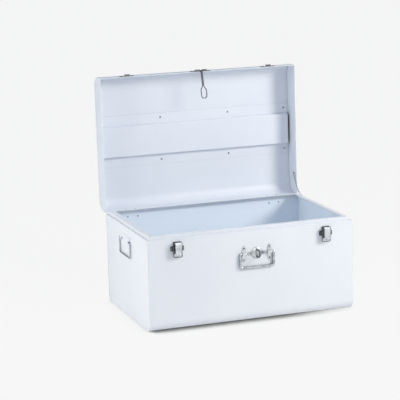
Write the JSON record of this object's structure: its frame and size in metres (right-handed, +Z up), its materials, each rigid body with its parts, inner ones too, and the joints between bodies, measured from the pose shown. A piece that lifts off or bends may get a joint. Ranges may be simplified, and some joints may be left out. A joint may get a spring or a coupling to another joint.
{
  "type": "small tin trunk",
  "caption": "Small white sheet-steel storage trunk with a hinged lid, draw catches, a wire hasp and staple, and drop handles on its front and ends.",
  "frame": {"origin": "centre of the flat underside, on the floor, under the middle of the body", "axes": "+Z up, -Y towards the front with the catches, +X to the right as seen from the front"},
  "size_m": [0.6116, 0.4866, 0.6506],
  "materials": {
    "white_paint": "smooth white powder coat, semi-gloss",
    "dark_chrome": "bright plated steel, darkened in the recesses",
    "zinc": "dull zinc plate"
  },
  "bodies": {
    "trunk_body": {"body_wrap": "white_paint", "body_left_end": "white_paint", "body_right_end": "white_paint", "body_left_seam": "white_paint", "body_right_seam": "white_paint", "rim_front": "white_paint", "rim_back": "white_paint", "rim_left": "white_paint", "rim_right": "white_paint", "rim_rivets": "white_paint", "hinge_left_body_leaf": "zinc", "hinge_right_body_leaf": "zinc", "hinge_left_pin": "zinc", "hinge_right_pin": "zinc", "hinge_body_rivets": "zinc", "catch_left_base": "dark_chrome", "catch_right_base": "dark_chrome", "catch_left_pin": "dark_chrome", "catch_right_pin": "dark_chrome", "catch_rivets": "zinc", "staple_plate": "dark_chrome", "staple": "dark_chrome", "staple_rivets": "zinc", "handle_left_plate": "dark_chrome", "handle_right_plate": "dark_chrome", "handle_rivets": "zinc", "end_handle_left_plate": "white_paint", "end_handle_right_plate": "white_paint", "end_handle_rivets": "zinc", "stay_body_stud": "zinc", "stay_chain": "zinc"},
    "lid": {"lid_wrap": "white_paint", "lid_left_end": "white_paint", "lid_right_end": "white_paint", "lid_left_seam": "white_paint", "lid_right_seam": "white_paint", "lid_channel": "white_paint", "channel_rivets": "white_paint", "hinge_left_lid_leaf": "zinc", "hinge_right_lid_leaf": "zinc", "hinge_lid_rivets": "zinc", "keeper_left": "dark_chrome", "keeper_right": "dark_chrome", "keeper_rivets": "zinc", "hasp_plate": "dark_chrome", "hasp_rivets": "zinc", "stay_lid_stud": "zinc"},
    "hasp": {"hasp_wire": "dark_chrome"},
    "left_lever": {"catch_left_lever": "dark_chrome"},
    "right_lever": {"catch_right_lever": "dark_chrome"},
    "left_loop": {"catch_left_loop": "dark_chrome"},
    "right_loop": {"catch_right_loop": "dark_chrome"},
    "front_handle": {"handle_bail": "dark_chrome"},
    "left_end_handle": {"end_handle_left_bail": "dark_chrome"},
    "right_end_handle": {"end_handle_right_bail": "dark_chrome"}
  },
  "joints": [
    {"name": "lid_hinge", "type": "hinge", "parent": "trunk_body", "child": "lid", "pos_m": [0, 0.197, 0.254], "axis": [-1, 0, 0], "range_deg": [-91.3, 0], "deforming": ["stay_chain"]},
    {"name": "hasp_swing", "type": "hinge", "parent": "lid", "child": "hasp", "pos_m": [0.0055, 0.20954, 0.64782], "axis": [1, 0, 0], "range_deg": [-180, 3]},
    {"name": "left_catch_lever", "type": "hinge", "parent": "trunk_body", "child": "left_lever", "pos_m": [-0.217, -0.205, 0.2405], "axis": [-1, 0, 0], "range_deg": [0, 150]},
    {"name": "left_catch_loop", "type": "hinge", "parent": "left_lever", "child": "left_loop", "pos_m": [-0.217, -0.201, 0.233], "axis": [1, 0, 0], "range_deg": [-187.85, 6]},
    {"name": "right_catch_lever", "type": "hinge", "parent": "trunk_body", "child": "right_lever", "pos_m": [0.217, -0.205, 0.2405], "axis": [-1, 0, 0], "range_deg": [0, 150]},
    {"name": "right_catch_loop", "type": "hinge", "parent": "right_lever", "child": "right_loop", "pos_m": [0.217, -0.201, 0.233], "axis": [1, 0, 0], "range_deg": [-187.85, 6]},
    {"name": "front_handle_swing", "type": "hinge", "parent": "trunk_body", "child": "front_handle", "pos_m": [0.012, -0.198, 0.191], "axis": [-1, 0, 0], "range_deg": [0, 100]},
    {"name": "left_end_handle_swing", "type": "hinge", "parent": "trunk_body", "child": "left_end_handle", "pos_m": [-0.3025, 0.008, 0.216], "axis": [0, 1, 0], "range_deg": [0, 100]},
    {"name": "right_end_handle_swing", "type": "hinge", "parent": "trunk_body", "child": "right_end_handle", "pos_m": [0.3025, 0.008, 0.216], "axis": [0, -1, 0], "range_deg": [0, 100]}
  ],
  "couplings": [
    {"joint": "hasp_swing", "follows": "lid_hinge", "ratio": 1}
  ]
}
